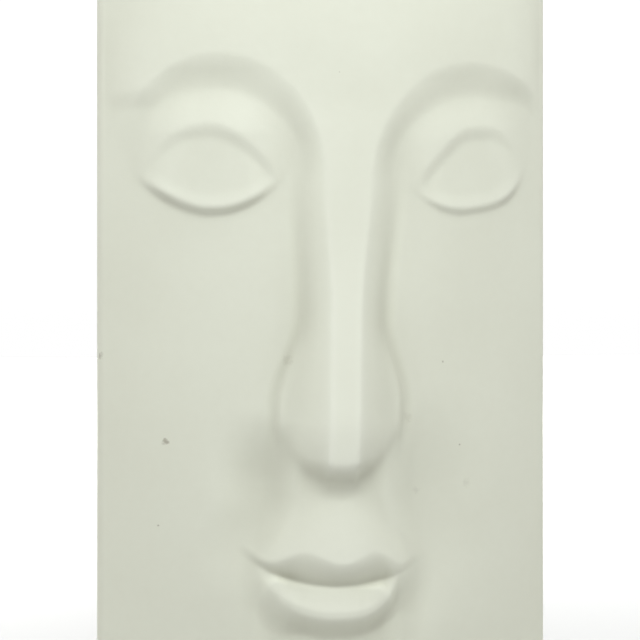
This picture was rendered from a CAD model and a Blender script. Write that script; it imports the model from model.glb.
# Looks of the slab-built face vase: smooth clay walls with the relief, glazed inside, in a pale studio.
# Sizes are in millimetres and are turned into metres where a mesh, a light or the camera is made.
import math

import bpy
import numpy as np
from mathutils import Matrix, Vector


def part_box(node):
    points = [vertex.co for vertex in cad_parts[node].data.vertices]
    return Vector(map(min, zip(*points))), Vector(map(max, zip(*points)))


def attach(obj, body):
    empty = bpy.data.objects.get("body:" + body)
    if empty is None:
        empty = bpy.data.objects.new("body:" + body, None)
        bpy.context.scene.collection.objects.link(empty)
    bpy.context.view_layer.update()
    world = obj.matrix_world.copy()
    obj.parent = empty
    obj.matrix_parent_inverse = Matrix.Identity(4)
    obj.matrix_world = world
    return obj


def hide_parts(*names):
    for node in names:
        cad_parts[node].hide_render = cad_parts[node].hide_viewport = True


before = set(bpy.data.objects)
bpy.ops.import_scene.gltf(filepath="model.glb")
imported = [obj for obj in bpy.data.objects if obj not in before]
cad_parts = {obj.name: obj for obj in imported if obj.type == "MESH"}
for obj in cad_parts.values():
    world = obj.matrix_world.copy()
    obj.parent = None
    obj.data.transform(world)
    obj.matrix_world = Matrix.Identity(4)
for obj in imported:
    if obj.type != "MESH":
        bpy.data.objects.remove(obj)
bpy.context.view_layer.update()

MM = 0.001
TINY = 1e-9  # keeps a divisor above 0

# Body: the overall sizes come from the frame, the others repeat the part's source.
base_low, base_high = (np.array(corner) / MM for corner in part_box("base_slab"))
WIDTH, DEPTH, BASE = base_high[0] - base_low[0], base_high[1] - base_low[1], base_high[2]
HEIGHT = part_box("front_slab")[1][2] / MM
BOW_RADIUS = 110.0  # plan curve of the front and the back
WALL = 6.0
CORNER_RADIUS = 4.0
RIM_RADIUS = 2.4
RIM_DIP = 0.4  # the rim is lower at the corners than over the crown of the front and back
FOOT_RADIUS = 1.5
COIL = 8.0  # width of a coil on each of the two surfaces that it joins
COIL_HOLLOW = 0.45  # how far its face is thumbed in towards the seam
COIL_BELOW_RIM = 12.0

# Face: z is counted up from its middle and x outwards from its centre line. A pair gives the two places
# between which something eases in or out. Left and right are the viewer's.
FACE_Z = 125.0
FACE_X = 1.3  # the face is set a little to one side
FACE_LEAN = 0.0165  # and leans to that side going up
EDGE_FADE = 6.0  # the relief dies out this close to the edges of the wall
BROW = dict(
    # arch: its crown, its half widths towards the nose and outwards, and its height
    x=34.5, z=66.8, inner=28.7, outer_left=25.5, outer_right=32.0, rise=31.3,
    # slope from the forehead down into the socket, and the share of the arch that is deep inside it
    ramp=10.5, tail_ramp=5.0, tail=(36.0, 52.0), fall=1.25, deep=0.2,
    # step of the forehead over the socket, and where it dies out
    step=1.7, fade=(44.0, 61.0), outer_foot=(42.0, 52.0), forehead=(66.0, 122.0),
)
BROW_SPRING = BROW["z"] - BROW["rise"]
NOSE = dict(
    # flat front: half width, the height over which it narrows, and its lean
    half=3.7, narrowing=34.0, lean=0.014,
    # rise from the brows to the tip
    start=56.0, end=-33.0, tip=9.0, curve=1.5, root=(12.0, 32.0), root_z=(8.0, 34.0),
    # flanks: width, where they turn from rounded to plane, and how much they thin towards the end
    flank=5.8, flank_z=(66.0, 42.0), crisp=(50.0, 12.0), thin=1.8,
    # small step and groove along their foot
    foot=0.14, foot_run=1.5, foot_thin=0.85,
    groove=0.8, groove_run=4.5, groove_x=(18.0, 26.0), groove_z=(-20.0, -38.0),
    # outline of the end: where it starts to close, where it is shut, its power, and how it eases in
    close=-25.5, shut=-40.0, closing=1.85, closing_in=0.4,
    # fall of the height within that outline and past it, at the tip and at the wings
    edge=4.6, wing_edge=2.6, edge_x=(4.0, 9.0), tail=5.2, wing_tail=5.0,
    # gentle loss of height towards the end
    round=-21.0, bottom=-40.0, rounding=0.5, wing_rounding=0.3,
)
WING = dict(flare=(0.0, -22.0), width=11.4, sag=0.6)
# Hollows beside the mouth: place, turn outwards going down, reach to both sides, top, foot and depth.
HOLLOW_LEFT = dict(
    x=18.6, turn=4.0, turn_z=(-44.0, -60.0), inner=8.0, outer=15.0,
    top=(-22.0, -41.0), foot=(-42.0, -70.0), depth=2.7,
)
HOLLOW_RIGHT = dict(
    x=20.0, turn=3.0, turn_z=(-44.0, -60.0), inner=9.0, outer=22.0,
    top=(-17.0, -45.0), foot=(-44.0, -80.0), depth=2.2,
)
# Eyes: middle, half length, tilt in degrees, heights of the lids and the powers of their four quarters,
# height of the swelling round the eye and width of the step under it.
EYE_LEFT = dict(
    x=34.0, z=37.0, half=18.3, tilt=1.6, upper=12.7, lower=8.8,
    upper_inner=1.6, upper_outer=2.4, lower_inner=2.2, lower_outer=1.7, mound=1.9, step_run=2.2,
)
EYE_RIGHT = dict(
    x=34.0, z=38.0, half=17.3, tilt=11.7, upper=12.3, lower=8.7,
    upper_inner=1.25, upper_outer=3.5, lower_inner=2.6, lower_outer=3.0, mound=1.35, step_run=1.8,
)
LID = dict(
    # rim along the lower lid, and the blank eye sunk under the upper one, less so at its outer end
    rim=0.25, rim_run=4.0, sink=0.75, sink_run=4.5, outer_sink=0.4, outer=(0.2, 0.9), ends=1.5,
    # swelling: heights between which it dies out upwards, and shares of the half length to both ends
    top=25.0, full=10.0, fade=(0.55, 1.02), high=(-6.0, 16.0), high_fade=0.31, high_reach=0.28,
)
MOUTH = dict(
    # line between the lips: half width, heights at the middle and the corners, and power of its curve
    half=27.0, line_z=-66.6, corner_z=-56.6, curve_left=2.4, curve_right=2.7,
    # depth of the parting, how it dies out to the corners, and its share where the upper lip is thin
    part=4.1, fade_left=16.0, fade_right=20.0, corner_left=1.1, corner_right=1.4,
    thin_left=0.6, thin_right=0.3,
    # width of the rise from the parting to the lower lip: in the middle, at the lip's ends and past them
    part_run=0.6, corner_run=14.0, level_run=2.0,
)
LIP = dict(
    # upper lip: thickness at its two peaks, in the notch and at the ends, softness and roll
    bow_x=8.5, bow=6.8, notch=4.7, end_left=19.5, end_right=17.0, thin=0.8, soft=1.6, roll=1.35,
    # outline of the lower lip: half widths, height and power, and how much wider it is underneath
    half_left=20.0, half_right=14.3, lower=7.4, outline=3.8, spread=1.0, least=5.0,
    # front of the lower lip: step, pout and the share of the height at which that is full
    step=0.5, pout=1.9, pout_full=0.8,
    # how the pout, its crisp upper edge and the level beside it die out to the ends
    fade=9.0, crisp=0.5, level_reach=5.5, level_fade=16.0,
    # hollow under the lower lip
    under=3.2, under_run=6.0, under_widen=6.0, widen=(8.0, 20.0), under_fade=34.0,
    under_half=27.0, under_soft=13.0,
)
# Swelling that the lips sit on.
MUZZLE = dict(
    z=-69.5, height=5.8, up=40.5, down=46.0, widen=(-42.0, -66.0),
    top_half_left=15.5, top_half_right=12.5, half_left=25.0, half_right=21.5,
)
CHIN = dict(z=-98.0, height=3.5, half=25.0, tall=18.0)
TAIL = dict(x=53.0, half=10.0, step=0.62, rise=(53.0, 58.5), fade=(58.5, 84.0))  # end of the left brow

# Hand finish of the face.
SOFTENING = 0.28  # how far slip and handling have rounded the creases
SOFTENING_STEPS = np.linspace(-2, 2, 5)  # places of the average each way, in units of SOFTENING
SETTLING = ((2.5, 4.0), (7.0, 10.0), (12.0, 14.0))  # reach of the creases that gather slip, and full depth
SETTLING_STEPS = 20
WOBBLE = dict(height=0.12, patch=(13.0, 17.0), patch_shift=1.3, ripple=(7.1, 9.3), sweep=(23.0, 31.0))

# Meshing: steps along each outline, and spacing of the rows.
FACE_COLUMNS, BACK_COLUMNS, INSIDE_COLUMNS, BASE_COLUMNS = 240, 100, 40, 80
CORNER_STEPS, RIM_STEPS, FOOT_STEPS, COIL_STEPS, FLOOR_COIL_STEPS = 10, 10, 6, 14, 40
PLAIN_SPACING = 20.0
FACE_BANDS = (FACE_Z - 96.0, FACE_Z - 52.0, FACE_Z + 80.0)  # limits between the spacings
FACE_SPACINGS = (1.5, 0.4, 0.6, 2.0)
SHARP_ANGLE = math.radians(50)

# Camera: level with the middle of the face, a little to the viewer's left of it.
CAMERA_TURN = math.radians(10.0)
CAMERA_DISTANCE = 330.0
FRAME_SHARE = 446 / 640  # width of the vase in the frame


def clamp(t):
    return np.clip(t, 0.0, 1.0)


def smooth(t):
    """Eased ramp from 0 to 1."""
    return clamp(t) ** 2 * (3 - 2 * clamp(t))


def firm(t):
    """Ramp from 0 to 1, half straight and half eased."""
    return (clamp(t) + smooth(t)) / 2


def mound(squared):
    """Hump over a squared distance: 1 in the middle and 0 from a distance of 1 on."""
    return np.maximum(1 - squared, 0) ** 2


def ease(value, start, end):
    """Eased step from 0 at start to 1 at end."""
    return smooth((value - start) / (end - start))


def toward(start, end, share):
    """Start moved towards end by a share of the way."""
    return start + (end - start) * share


def by_side(left, form, key):
    """Size for the left or the right half of the face."""
    return np.where(left, form[key + "_left"], form[key + "_right"])


def outside_socket(x, z, flat, left):
    """How far a place lies outside the arched socket: above 0 on the forehead and the front of the nose."""
    across = np.where(x < BROW["x"], BROW["x"] - flat, by_side(left, BROW, "outer"))
    dx = (x - BROW["x"]) / across
    dz = np.maximum(z - BROW_SPRING, 0) / BROW["rise"]
    reach = np.hypot(dx, dz)
    slope = np.hypot(dx / across, dz / BROW["rise"])
    arch = np.where(reach < BROW["deep"], -across, (reach - 1) * reach / np.maximum(slope, TINY))
    return np.where(z < BROW_SPRING, flat - x, arch)


def nose_end(x, closed, width):
    """Share of the nose's height that is left where its end turns under."""
    on_wing = ease(x, *NOSE["edge_x"])
    edge = toward(NOSE["edge"], NOSE["wing_edge"], on_wing)
    run = toward(NOSE["tail"], NOSE["wing_tail"], on_wing)
    reach = (closed ** NOSE["closing"] + (x / width) ** NOSE["closing"]) ** (1 / NOSE["closing"])
    past = (reach - 1) * (NOSE["close"] - NOSE["shut"])
    share = edge / (edge + run)
    within = 1 - share * clamp(past / edge + 1) ** 2
    beyond = (1 - share) * clamp(1 - past / run) ** 2
    keep = np.where(past < 0, within, beyond)
    return 1 - (1 - keep) * smooth(closed / NOSE["closing_in"])


def nose_and_brows(x, z, left):
    """Forehead that steps down into the sockets along the brow arches, and the nose that these run into."""
    flat = toward(BROW["x"] - BROW["inner"], NOSE["half"], smooth((BROW_SPRING - z) / NOSE["narrowing"]))
    closed = np.maximum(NOSE["close"] - z, 0) / (NOSE["close"] - NOSE["shut"])
    crisp = ease(z, *NOSE["crisp"])
    flared = ease(z, *WING["flare"])

    ramp = toward(BROW["ramp"], BROW["tail_ramp"], ease(x, *BROW["tail"]))
    ramp = toward(ramp, NOSE["flank"], ease(z, *NOSE["flank_z"]))
    ramp = ramp + (WING["width"] - NOSE["flank"]) * flared
    t = 1 + outside_socket(x, z, flat, left) / ramp
    foot = NOSE["foot"] * crisp * (1 - NOSE["foot_thin"] * clamp(closed))
    sag = 1 + WING["sag"] * flared + NOSE["thin"] * clamp(closed) ** 2
    slope = toward(foot, 1, toward(firm(t) ** BROW["fall"], clamp(t) ** sag, crisp))
    profile = np.where(t > 0, slope, foot * (1 - firm(-t * ramp / NOSE["foot_run"])))
    profile = profile * nose_end(x, closed, flat + ramp)

    turned = toward(NOSE["rounding"], NOSE["wing_rounding"], ease(x, *NOSE["edge_x"]))
    rounding = 1 - turned * clamp((NOSE["round"] - z) / (NOSE["round"] - NOSE["bottom"])) ** 2
    beside = np.maximum(-t * ramp, 0) / NOSE["groove_run"]
    groove = NOSE["groove"] * mound(beside ** 2) * crisp
    groove = groove * (1 - ease(x, *NOSE["groove_x"])) * (1 - ease(z, *NOSE["groove_z"]))

    forehead = BROW["step"] * (1 - ease(x, *BROW["fade"])) * (1 - ease(z, *BROW["forehead"]))
    forehead = np.where(x > BROW["x"], forehead * ease(z, *BROW["outer_foot"]), forehead)
    rise = np.maximum((NOSE["start"] - z) / (NOSE["start"] - NOSE["end"]), 0) ** NOSE["curve"]
    root = 1 - ease(x, *NOSE["root"]) * ease(z, *NOSE["root_z"])
    return (forehead + (NOSE["tip"] - BROW["step"]) * rise * root) * profile * rounding - groove


def hollow(x, z, form):
    """Hollow that runs down from the wing of the nose past the corner of the mouth."""
    off = x - form["x"] - form["turn"] * ease(z, *form["turn_z"])
    across = mound((off / np.where(off < 0, form["inner"], form["outer"])) ** 2)
    return -form["depth"] * across * ease(z, *form["top"]) * (1 - ease(z, *form["foot"]))


def eye(x, z, form):
    """Swelling in the socket with the blank almond eye and its lids."""
    tilt = math.radians(form["tilt"])
    dx, dz = x - form["x"], z - form["z"]
    along = (dx * math.cos(tilt) + dz * math.sin(tilt)) / form["half"]
    up = dz * math.cos(tilt) - dx * math.sin(tilt)
    off = clamp(np.abs(along))
    upper_power = np.where(along > 0, form["upper_outer"], form["upper_inner"])
    lower_power = np.where(along > 0, form["lower_outer"], form["lower_inner"])
    below_upper = form["upper"] * (1 - off ** upper_power) - up
    above_lower = form["lower"] * (1 - off ** lower_power) + up

    rim = LID["rim"] * (1 - smooth(above_lower / LID["rim_run"]))
    sink = LID["sink"] * (1 - (1 - LID["outer_sink"]) * ease(along, *LID["outer"]))
    plate = rim - sink * smooth(below_upper / LID["sink_run"])
    plate = plate * smooth(LID["ends"] * (1 - off ** 2))

    high = ease(up, *LID["high"])
    fade_start = LID["fade"][0] - LID["high_fade"] * high
    fade_end = LID["fade"][1] + LID["high_reach"] * high
    swelling = form["mound"] * firm((LID["top"] - up) / (LID["top"] - LID["full"]))
    swelling = swelling * (1 - ease(np.abs(along), fade_start, fade_end))
    return (swelling + plate) * (1 - firm(-above_lower / form["step_run"]))


def lower_lip_height(x, half_width):
    return LIP["lower"] * np.maximum(1 - (x / half_width) ** LIP["outline"], 0)


def mouth(x, z, left):
    """Muzzle with the two lips, which meet in a sunk parting."""
    top_half, full_half = by_side(left, MUZZLE, "top_half"), by_side(left, MUZZLE, "half")
    muzzle_half = toward(top_half, full_half, ease(z, *MUZZLE["widen"]))
    tall = np.where(z > MUZZLE["z"], MUZZLE["up"], MUZZLE["down"])
    muzzle = MUZZLE["height"] * mound((x / muzzle_half) ** 2 + ((z - MUZZLE["z"]) / tall) ** 2)
    curve = clamp(x / MOUTH["half"]) ** by_side(left, MOUTH, "curve")
    below = toward(MOUTH["line_z"], MOUTH["corner_z"], curve) - z
    corner = smooth((MOUTH["half"] - x) / by_side(left, MOUTH, "fade")) ** by_side(left, MOUTH, "corner")

    thick = np.where(
        x < LIP["bow_x"],
        toward(LIP["notch"], LIP["bow"], smooth(x / LIP["bow_x"])),
        toward(LIP["bow"], LIP["thin"], ease(x, LIP["bow_x"], by_side(left, LIP, "end"))),
    )
    part = MOUTH["part"] * corner * toward(by_side(left, MOUTH, "thin"), 1, clamp(thick / LIP["notch"]))
    upper = -part * clamp(1 + below / (thick + LIP["soft"])) ** LIP["roll"]

    lip_half = by_side(left, LIP, "half")
    down = below / np.maximum(lower_lip_height(x, lip_half), LIP["least"])
    past = np.maximum(below - lower_lip_height(x, lip_half + LIP["spread"]), 0)
    inner = smooth((lip_half - x) / LIP["fade"])
    crisp_edge = smooth((lip_half - x) / LIP["fade"] + LIP["crisp"])
    within = smooth((lip_half + LIP["level_reach"] - x) / LIP["level_fade"])
    run = toward(MOUTH["part_run"], MOUTH["corner_run"], 1 - crisp_edge) + MOUTH["level_run"] * (1 - within)
    open_lip = firm(below / run)
    front = open_lip * (LIP["step"] + LIP["pout"] * clamp(down / LIP["pout_full"]) * inner)
    lip = front * corner - part * (1 - open_lip * (1 - within))
    under_run = LIP["under_run"] + LIP["under_widen"] * ease(x, *LIP["widen"])
    beneath = smooth((LIP["under_half"] - x) / LIP["under_soft"])
    lower = lip - LIP["under"] * firm(past / under_run) * beneath
    lower = lower * (1 - smooth(past / LIP["under_fade"]))
    return muzzle + np.where(below < 0, upper, lower)


def relief(x, height):
    """Height of the face over the plain wall."""
    z = height - FACE_Z
    place = x - FACE_X - FACE_LEAN * z
    side, left = np.abs(place), place < 0
    nose_place = place - NOSE["lean"] * z
    chin = CHIN["height"] * mound((side / CHIN["half"]) ** 2 + ((z - CHIN["z"]) / CHIN["tall"]) ** 2)
    tail = TAIL["step"] * mound(((side - TAIL["x"]) / TAIL["half"]) ** 2)
    tail = tail * ease(z, *TAIL["rise"]) * (1 - ease(z, *TAIL["fade"]))
    face = nose_and_brows(np.abs(nose_place), z, nose_place < 0) + mouth(side, z, left) + chin
    face = face + np.where(left, hollow(side, z, HOLLOW_LEFT), hollow(side, z, HOLLOW_RIGHT))
    face = face + np.where(left, eye(side, z, EYE_LEFT), eye(side, z, EYE_RIGHT))
    face = face + tail * left
    edge = np.minimum(WIDTH / 2 - np.abs(x), np.minimum(HEIGHT - RIM_RADIUS - height, height - BASE))
    return face * smooth(edge / EDGE_FADE)


def softened_relief(x, height):
    """Relief averaged over a small round neighbourhood, which rounds its creases."""
    total, weights = 0.0, 0.0
    for dx in SOFTENING_STEPS:
        for dz in SOFTENING_STEPS:
            weight = math.exp(-(dx * dx + dz * dz) / 2)
            total = total + weight * relief(x + dx * SOFTENING, height + dz * SOFTENING)
            weights += weight
    return total / weights


def crease(x, height, reach):
    """How far the surface lies under the mean of a ring round it: above 0 in creases, below 0 on edges."""
    angles = np.linspace(0, 2 * math.pi, SETTLING_STEPS, endpoint=False)
    ring = sum(relief(x + reach * math.cos(a), height + reach * math.sin(a)) for a in angles)
    return ring / len(angles) - relief(x, height)


def settled(x, height):
    """Slip and dust gathered in the hollows, above 0, and clay rubbed clean on the edges, below 0."""
    return sum(crease(x, height, reach) / full for reach, full in SETTLING)


def wobble(x, height):
    """Unevenness of the hand-finished face, which dies out to the upright edges."""
    (patch_x, patch_z), (ripple_x, ripple_z) = WOBBLE["patch"], WOBBLE["ripple"]
    sweep_x, sweep_z = WOBBLE["sweep"]
    waves = np.sin(x / patch_x + WOBBLE["patch_shift"]) * np.sin(height / patch_z)
    waves = waves + np.sin(x / ripple_x - height / ripple_z) / 2
    waves = waves + np.sin(height / sweep_z + x / sweep_x)
    return WOBBLE["height"] * waves * smooth((WIDTH / 2 - np.abs(x)) / (2 * EDGE_FADE))


# Plan of the body: every outline is given by its inset from the outside.
half = WIDTH / 2
bow_y = BOW_RADIUS - DEPTH / 2
corner_x = half - CORNER_RADIUS


def on_bow(x, inset):
    """Points of the bowed front at x."""
    x = np.asarray(x, float)
    return np.stack([x, bow_y - np.sqrt((BOW_RADIUS - inset) ** 2 - x * x)], -1)


corner_y = on_bow(corner_x, CORNER_RADIUS)[1]
corner_start = math.asin(corner_x / (BOW_RADIUS - CORNER_RADIUS))
corner_end = math.pi / 2
corner_middle = (corner_start + corner_end) / 2


def corner_arc(start, end, inset):
    """Points of the rounded front right corner between two angles."""
    angle = np.linspace(start, end, CORNER_STEPS + 1)
    radius = CORNER_RADIUS - inset
    return np.stack([corner_x + radius * np.sin(angle), corner_y - radius * np.cos(angle)], -1)


# Signs that put a plan point of the front right quarter in one of the four quarters.
SAME, MIRROR_X = np.array([1, 1]), np.array([-1, 1])
MIRROR_Y, OPPOSITE = np.array([1, -1]), np.array([-1, -1])


def rim_rows():
    """Heights and insets of the rounded rim."""
    angle = np.linspace(0, math.pi / 2, RIM_STEPS + 1)
    return [(HEIGHT - RIM_RADIUS * (1 - math.sin(a)), RIM_RADIUS * (1 - math.cos(a))) for a in angle]


def spaced(start, end, spacing):
    """Places from start up to but not including end, about a spacing apart."""
    return list(np.linspace(start, end, max(round((end - start) / spacing), 1) + 1)[:-1])


def mesh_object(name, vertices, faces, materials, slots):
    mesh = bpy.data.meshes.new(name)
    mesh.from_pydata((np.asarray(vertices) * MM).tolist(), [], faces)
    for material in materials:
        mesh.materials.append(material)
    mesh.polygons.foreach_set("material_index", slots)
    mesh.polygons.foreach_set("use_smooth", [True] * len(faces))
    mesh.set_sharp_from_angle(angle=SHARP_ANGLE)
    mesh.update()
    piece = bpy.data.objects.new(name, mesh)
    bpy.context.scene.collection.objects.link(piece)
    return piece


def loft(name, sections, materials, inner_from=None, bottom_slot=0):
    """Closed solid through rings of equal length; its sides take the second material from inner_from on."""
    count = len(sections[0])
    inner_from = count if inner_from is None else inner_from
    last = (len(sections) - 1) * count
    faces, slots = [tuple(range(count))[::-1]], [bottom_slot]
    for start in range(0, last, count):
        for k in range(count):
            after = (k + 1) % count
            faces.append((start + k, start + after, start + count + after, start + count + k))
            slots.append(int(k >= inner_from))
    faces.append(tuple(range(last, last + count)))
    slots.append(0)
    return mesh_object(name, np.concatenate(sections), faces, materials, slots)


def raised(points, z):
    """Level row of a piece."""
    return np.column_stack([points, np.full(len(points), z)])


def standing(points, z):
    """Row of a wall, which has settled more towards the corners the higher it is."""
    dip = RIM_DIP * (points[:, 0] / half) ** 2 * (z - BASE) / (HEIGHT - BASE)
    return np.column_stack([points, z - dip])


def bowed_wall(name, rows, columns, carved, materials):
    """Front or back wall up to the middle of its corners, with the face where it is carved."""
    sections = []
    for z, inset in rows:
        reach = (BOW_RADIUS - inset) * math.sin(corner_start)
        corner = corner_arc(corner_start, corner_middle, inset)
        front = on_bow(np.linspace(-reach, reach, columns + 1)[1:-1], inset)
        end = half - WALL + inset
        inside = on_bow(np.linspace(end, -end, INSIDE_COLUMNS + 1), WALL - inset)
        sections.append(standing(np.concatenate([corner[::-1] * MIRROR_X, front, corner, inside]), z))
    sections = np.array(sections)
    first, last = len(corner), len(corner) + columns - 1
    gathered = np.zeros(sections.shape[:2])
    if carved:
        front = sections[:, first:last]
        x, height = front[..., 0], front[..., 2]
        gathered[:, first:last] = settled(x, height)
        front[..., 1] -= softened_relief(x, height) + wobble(x, height)
    wall = loft(name, list(sections), materials, inner_from=last + len(corner) - 1)
    wall.data.attributes.new("settled", "FLOAT", "POINT").data.foreach_set("value", gathered.ravel())
    return wall


def side_wall(name, rows, materials):
    """Flat right wall up to the middle of its corners."""
    sections = []
    for z, inset in rows:
        corner = corner_arc(corner_middle, corner_end, inset)
        inner = on_bow(half - WALL + inset, WALL - inset)
        ring = np.concatenate([corner, corner[::-1] * MIRROR_Y, [inner * MIRROR_Y], [inner]])
        sections.append(standing(ring, z))
    return loft(name, sections, materials, inner_from=2 * len(corner))


def base_slab(name, materials):
    """Base with a rounded foot and a bare underside."""
    angle = np.linspace(0, math.pi / 2, FOOT_STEPS + 1)
    rows = [(FOOT_RADIUS * (1 - math.cos(a)), FOOT_RADIUS * (1 - math.sin(a))) for a in angle] + [(BASE, 0.0)]
    sections = []
    for z, inset in rows:
        reach = (BOW_RADIUS - inset) * math.sin(corner_start)
        front = on_bow(np.linspace(-reach, reach, BASE_COLUMNS + 1)[:-1], inset)
        corner = corner_arc(corner_start, corner_end, inset)
        turn = np.concatenate([front, corner, corner[1:][::-1] * MIRROR_Y])
        sections.append(raised(np.concatenate([turn, turn * OPPOSITE]), z))
    return loft(name, sections, materials, bottom_slot=1)


def coil_ring(corner, leg_a, leg_b):
    """Section of a coil: its seam and the thumbed curve between its two edges."""
    thumb = (leg_a + leg_b) / 2 * (1 - COIL_HOLLOW) + corner * COIL_HOLLOW
    t = np.linspace(0, 1, COIL_STEPS + 1)[:, None]
    return np.concatenate([[corner], (1 - t) ** 2 * leg_a + 2 * t * (1 - t) * thumb + t * t * leg_b])


upright_corner = on_bow(half - WALL, WALL)
upright_lean = math.asin(upright_corner[0] / (BOW_RADIUS - WALL))
upright_leg_x = upright_corner[0] - COIL * math.cos(upright_lean)
upright_leg_y = upright_corner[1] + COIL


def upright_coil(name, place, materials):
    """Coil in an inside corner."""
    leg_a = np.array([upright_corner[0], upright_leg_y])
    ring = coil_ring(upright_corner, leg_a, on_bow(upright_leg_x, WALL)) * place
    if place[0] * place[1] < 0:
        ring = ring[::-1]
    return loft(name, [raised(ring, z) for z in (BASE, HEIGHT - COIL_BELOW_RIM)], materials)


floor_ring = coil_ring(np.zeros(2), np.array([COIL, 0.0]), np.array([0.0, COIL]))


def bowed_floor_coil(name, materials):
    """Coil in the seam between the base and the front or back wall."""
    radius = BOW_RADIUS - WALL
    end = math.asin(upright_leg_x / radius)
    out = radius - floor_ring[:, 0]
    z = BASE + floor_ring[:, 1]
    sections = []
    for angle in np.linspace(-end, end, FLOOR_COIL_STEPS + 1):
        sections.append(np.column_stack([out * math.sin(angle), bow_y - out * math.cos(angle), z]))
    return loft(name, sections, materials)


def side_floor_coil(name, materials):
    """Coil in the seam between the base and a side wall."""
    x = half - WALL - floor_ring[:, 0]
    ends = [upright_leg_y, -upright_leg_y]
    sections = [np.column_stack([x, np.full(len(x), y), BASE + floor_ring[:, 1]]) for y in ends]
    return loft(name, sections, materials)


# Materials: colours, and the sizes of their patterns.
CLAY = (0.785, 0.79, 0.670, 1.0)
CLAY_DEEP = (0.73, 0.728, 0.607, 1.0)
CLAY_SETTLED = (0.52, 0.515, 0.415, 1.0)
CLAY_RUBBED = (0.89, 0.895, 0.78, 1.0)
SPECK = (0.22, 0.18, 0.12, 1.0)
GLAZE = (0.80, 0.80, 0.74, 1.0)
GLAZE_POOLED = (0.74, 0.75, 0.69, 1.0)
BARE_CLAY = (0.66, 0.63, 0.54, 1.0)
BARE_GROG = (0.55, 0.51, 0.42, 1.0)
FLOOR_COLOUR = (0.5, 0.5, 0.495, 1.0)
WHITE = (1.0, 1.0, 1.0, 1.0)
TONE = dict(broad=0.35, fine=0.15)  # shares of the two patterns of deeper clay
SPECKS = dict(cells=95.0, chosen=0.965, size=0.05, edge=0.012, strength=0.55)  # sizes in cells
MARK_RAGGED = 0.4  # unevenness of a mark's outline, and its core, as shares of its radius
MARK_CORE = 0.3
# Larger specks and stains on the face: x, height, radius and strength.
MARKS = (
    (-42.9, 94.3, 0.9, 0.55),
    (34.8, 82.8, 1.2, 0.10),
    (20.9, 81.2, 1.1, 0.10),
    (18.2, 100.4, 1.6, 0.09),
    (-12.8, 114.9, 1.5, 0.14),
    (32.8, 92.7, 0.35, 0.55),
    (-44.6, 73.1, 0.35, 0.50),
    (27.8, 114.3, 0.35, 0.45),
    (-59.3, 115.9, 1.0, 0.40),
)
MIX_A, MIX_B, MIX_RESULT = 6, 7, 2  # colour sockets of a mix


class Nodes:
    """Short calls that add nodes to one material, or to the surroundings, and link them."""

    def __init__(self, owner, shader, coordinates):
        owner.use_nodes = True
        self.owner = owner
        self.tree = owner.node_tree
        self.shader = self.tree.nodes[shader]
        self.place = self.add("ShaderNodeTexCoord").outputs[coordinates]

    def add(self, kind, settings=(), **inputs):
        node = self.tree.nodes.new(kind)
        for key, value in dict(settings).items():
            setattr(node, key, value)
        self.fill(node, **inputs)
        return node

    def fill(self, node, **inputs):
        for key, value in inputs.items():
            self.feed(node.inputs[key.replace("_", " ")], value)

    def feed(self, socket, value):
        if isinstance(value, bpy.types.NodeSocket):
            self.tree.links.new(value, socket)
        else:
            socket.default_value = value

    def noise(self, scale, detail=3.0, roughness=0.55):
        pattern = dict(Scale=scale, Detail=detail, Roughness=roughness)
        return self.add("ShaderNodeTexNoise", Vector=self.place, **pattern).outputs["Fac"]

    def between(self, value, low, high, to=(0.0, 1.0)):
        ends = dict(From_Min=low, From_Max=high, To_Min=to[0], To_Max=to[1])
        return self.add("ShaderNodeMapRange", Value=value, **ends).outputs["Result"]

    def math(self, operation, a, b):
        node = self.add("ShaderNodeMath", {"operation": operation})
        self.feed(node.inputs[0], a)
        self.feed(node.inputs[1], b)
        return node.outputs["Value"]

    def vector(self, operation, a, b):
        node = self.add("ShaderNodeVectorMath", {"operation": operation})
        self.feed(node.inputs[0], a)
        self.feed(node.inputs[1], b)
        return node.outputs["Value" if operation == "DISTANCE" else "Vector"]

    def mix(self, factor, a, b):
        node = self.add("ShaderNodeMix", {"data_type": "RGBA"}, Factor=factor)
        self.feed(node.inputs[MIX_A], a)
        self.feed(node.inputs[MIX_B], b)
        return node.outputs[MIX_RESULT]

    def bump(self, height, strength, distance, **normal):
        node = self.add("ShaderNodeBump", Height=height, Strength=strength, Distance=distance, **normal)
        return node.outputs["Normal"]


def material_nodes(name):
    return Nodes(bpy.data.materials.new(name), "Principled BSDF", "Object")


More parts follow.
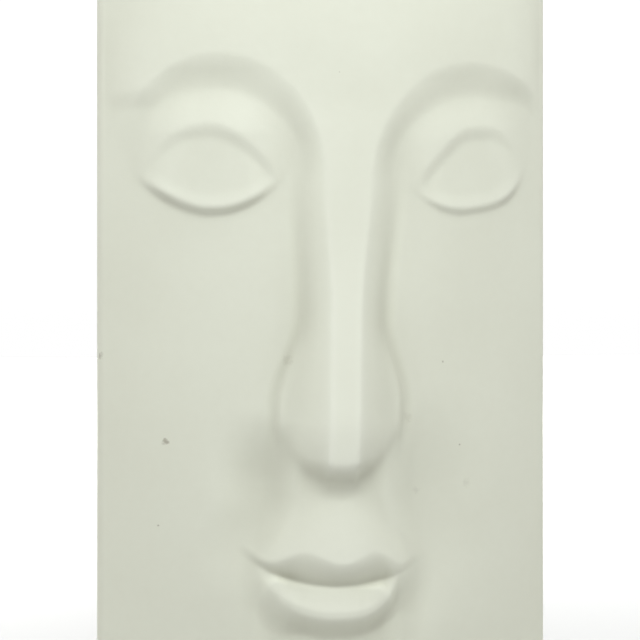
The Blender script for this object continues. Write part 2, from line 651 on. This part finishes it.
def stoneware(name, marks=()):
    """Matte clay with a cloudy tone, slip settled in its creases, specks and the given marks."""
    n = material_nodes(name)
    broad = n.between(n.noise(scale=28.0, detail=4.0), 0.35, 0.65)
    fine = n.between(n.noise(scale=420.0), 0.3, 0.7)
    tone = n.math("ADD", n.math("MULTIPLY", broad, TONE["broad"]), n.math("MULTIPLY", fine, TONE["fine"]))
    colour = n.mix(tone, CLAY, CLAY_DEEP)
    gathered = n.add("ShaderNodeAttribute", {"attribute_name": "settled"}).outputs["Fac"]
    colour = n.mix(n.between(gathered, 0.0, 1.0), colour, CLAY_SETTLED)
    colour = n.mix(n.between(gathered, 0.0, -1.0), colour, CLAY_RUBBED)

    spacing = dict(Scale=SPECKS["cells"], Randomness=1.0)
    cells = n.add("ShaderNodeTexVoronoi", {"feature": "F1"}, Vector=n.place, **spacing)
    chance = n.add("ShaderNodeSeparateColor", Color=cells.outputs["Color"]).outputs["Red"]
    size = n.math("MULTIPLY", n.between(chance, SPECKS["chosen"], 1.0), SPECKS["size"])
    near = n.math("SUBTRACT", size, cells.outputs["Distance"])
    speck = n.between(near, 0.0, SPECKS["edge"], to=(0.0, SPECKS["strength"]))
    colour = n.mix(speck, colour, SPECK)
    flat = n.vector("MULTIPLY", n.place, (1.0, 0.0, 1.0))
    ragged = n.between(n.noise(scale=900.0, detail=2.0), 0.3, 0.7, to=(-MARK_RAGGED, MARK_RAGGED))
    for x, z, radius, strength in marks:
        away = n.vector("DISTANCE", flat, (x * MM, 0.0, z * MM))
        away = n.math("ADD", away, n.math("MULTIPLY", ragged, radius * MM))
        mark = n.between(away, radius * MM, MARK_CORE * radius * MM, to=(0.0, strength))
        colour = n.mix(mark, colour, SPECK)

    grain = n.bump(n.noise(scale=2600.0, detail=2.0), strength=0.10, distance=0.12 * MM)
    uneven = n.bump(n.noise(scale=120.0), strength=0.12, distance=0.6 * MM, Normal=grain)
    roughness = n.between(n.noise(scale=160.0), 0.3, 0.7, to=(0.52, 0.64))
    n.fill(n.shader, Base_Color=colour, Roughness=roughness, Specular_IOR_Level=0.35, Normal=uneven)
    return n.owner


def liner_glaze(name):
    """Clear gloss glaze that has pooled unevenly."""
    n = material_nodes(name)
    pooled = n.between(n.noise(scale=35.0), 0.35, 0.65)
    roughness = n.between(n.noise(scale=90.0, detail=2.0), 0.3, 0.7, to=(0.10, 0.18))
    uneven = n.bump(n.noise(scale=70.0, detail=2.0), strength=0.15, distance=0.8 * MM)
    n.fill(n.shader, Base_Color=n.mix(pooled, GLAZE, GLAZE_POOLED), Roughness=roughness, Normal=uneven)
    n.fill(n.shader, Coat_Weight=0.5, Coat_Roughness=0.06)
    return n.owner


def bare_clay(name):
    """Coarse clay of the underside."""
    n = material_nodes(name)
    grog = n.between(n.noise(scale=900.0, detail=4.0), 0.4, 0.65)
    roughness = n.between(n.noise(scale=300.0, detail=2.0), 0.3, 0.7, to=(0.8, 0.92))
    grain = n.bump(n.noise(scale=1400.0, detail=4.0), strength=0.35, distance=0.3 * MM)
    n.fill(n.shader, Base_Color=n.mix(grog, BARE_CLAY, BARE_GROG), Roughness=roughness, Normal=grain)
    return n.owner


clay = stoneware("matte_stoneware")
face_clay = stoneware("face_stoneware", MARKS)
glaze = liner_glaze("liner_glaze")
foot_clay = bare_clay("bare_clay")

# Pieces: each stands for its solid, and closes the thin slip joint round it.
wall_top = HEIGHT - RIM_RADIUS
plain_rows = [(z, 0.0) for z in spaced(BASE, wall_top, PLAIN_SPACING)] + rim_rows()
limits = (BASE, *FACE_BANDS, wall_top)
bands = zip(limits, limits[1:], FACE_SPACINGS)
face_rows = [(z, 0.0) for low, high, spacing in bands for z in spaced(low, high, spacing)] + rim_rows()
walls = [clay, glaze]
pieces = {
    "base_slab": base_slab("base", [clay, foot_clay]),
    "front_slab": bowed_wall("face_wall", face_rows, FACE_COLUMNS, True, [face_clay, glaze]),
    "back_slab": bowed_wall("back_wall", plain_rows, BACK_COLUMNS, False, walls),
    "right_slab": side_wall("right_wall", plain_rows, walls),
    "left_slab": side_wall("left_wall", plain_rows, walls),
    "corner_coil_front_right": upright_coil("coil_front_right", SAME, [glaze]),
    "corner_coil_front_left": upright_coil("coil_front_left", MIRROR_X, [glaze]),
    "corner_coil_back_right": upright_coil("coil_back_right", MIRROR_Y, [glaze]),
    "corner_coil_back_left": upright_coil("coil_back_left", OPPOSITE, [glaze]),
    "floor_coil_front": bowed_floor_coil("coil_floor_front", [glaze]),
    "floor_coil_back": bowed_floor_coil("coil_floor_back", [glaze]),
    "floor_coil_right": side_floor_coil("coil_floor_right", [glaze]),
    "floor_coil_left": side_floor_coil("coil_floor_left", [glaze]),
}
TURNED = ("back_slab", "left_slab", "floor_coil_back", "floor_coil_left")  # made at the front or the right
for node, piece in pieces.items():
    if node in TURNED:
        piece.rotation_euler.z = math.pi
    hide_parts(node)
    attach(piece, "root")

# Studio: places and sizes of the lights and the floor are in metres, and spreads in degrees.
FLOOR_HALF = 4.0
FLOOR_ROUGHNESS = 0.8
KEY_OVER_BROW = 75.0  # in millimetres: the key light is aimed at the plain band under the rim
KEY_COLOUR = (0.94, 0.99, 1.0)
SKY_BEHIND = (-0.1, 0.4)  # directions between which the sky brightens backwards and upwards
SKY_OVERHEAD = (0.0, 1.0)


def area_light(name, place, target, size, power, spread, colour=WHITE[:3]):
    light = bpy.data.lights.new(name, "AREA")
    light.shape = "RECTANGLE"
    light.size, light.size_y = size
    light.energy = power
    light.color = colour
    light.spread = math.radians(spread)
    lamp = bpy.data.objects.new(name, light)
    lamp.location = place
    bpy.context.scene.collection.objects.link(lamp)
    aim = bpy.data.objects.new(name + "_aim", None)
    aim.location = target
    bpy.context.scene.collection.objects.link(aim)
    track = lamp.constraints.new("TRACK_TO")
    track.target = aim
    track.track_axis, track.up_axis = "TRACK_NEGATIVE_Z", "UP_Y"


def studio_world(front, behind, overhead):
    """Even white light, brighter behind the vase and overhead than from the viewer's side."""
    n = Nodes(bpy.data.worlds.new("studio"), "Background", "Generated")
    direction = n.add("ShaderNodeSeparateXYZ", Vector=n.place).outputs
    from_behind = n.between(direction["Y"], *SKY_BEHIND, to=(0.0, behind - front))
    from_above = n.between(direction["Z"], *SKY_OVERHEAD, to=(0.0, overhead - front))
    n.fill(n.shader, Color=WHITE, Strength=n.math("ADD", from_above, n.math("ADD", from_behind, front)))
    return n.owner


floor_paint = material_nodes("pale_floor")
floor_paint.fill(floor_paint.shader, Base_Color=FLOOR_COLOUR, Roughness=FLOOR_ROUGHNESS)
floor_mesh = bpy.data.meshes.new("floor")
floor_corners = [(FLOOR_HALF * x, FLOOR_HALF * y, 0.0) for x, y in (OPPOSITE, MIRROR_Y, SAME, MIRROR_X)]
floor_mesh.from_pydata(floor_corners, [], [(0, 1, 2, 3)])
floor_mesh.materials.append(floor_paint.owner)
floor = bpy.data.objects.new("floor", floor_mesh)
bpy.context.scene.collection.objects.link(floor)

area_light(
    "key", place=(-0.025, -0.42, 0.62),
    target=(0.0, -DEPTH / 2 * MM, (FACE_Z + BROW["z"] + KEY_OVER_BROW) * MM),
    size=(0.35, 0.35), power=0.48, spread=60.0, colour=KEY_COLOUR,
)
area_light(
    "backdrop", place=(0.0, 3.0, 1.6), target=(0.0, 3.0, 0.0), size=(5.0, 4.4), power=120.0, spread=70.0,
)
area_light(
    "sweep", place=(0.0, 1.0, 1.0), target=(0.0, 1.0, 0.0), size=(2.4, 1.2), power=24.0, spread=90.0,
)

scene = bpy.context.scene
scene.world = studio_world(front=0.322, behind=1.0, overhead=0.69)
scene.view_settings.view_transform = "Standard"
scene.view_settings.look = "None"

# Camera: the two upright edges of the vase lie FRAME_SHARE of the frame apart, centred.
camera_x = -CAMERA_DISTANCE * math.sin(CAMERA_TURN)
camera_y = -DEPTH / 2 - CAMERA_DISTANCE * math.cos(CAMERA_TURN)
arc = corner_arc(corner_start, corner_end, 0.0)
outline = np.concatenate([arc, arc * MIRROR_X, arc * MIRROR_Y, arc * OPPOSITE])
bearing = np.arctan2(outline[:, 0] - camera_x, outline[:, 1] - camera_y)
camera = bpy.data.cameras.new("camera")
camera.lens = camera.sensor_width * FRAME_SHARE / 2 / math.tan((bearing.max() - bearing.min()) / 2)
camera.clip_start = 0.01
viewer = bpy.data.objects.new("camera", camera)
viewer.location = (camera_x * MM, camera_y * MM, FACE_Z * MM)
viewer.rotation_euler = (math.pi / 2, 0.0, -(bearing.max() + bearing.min()) / 2)
scene.collection.objects.link(viewer)
scene.camera = viewer
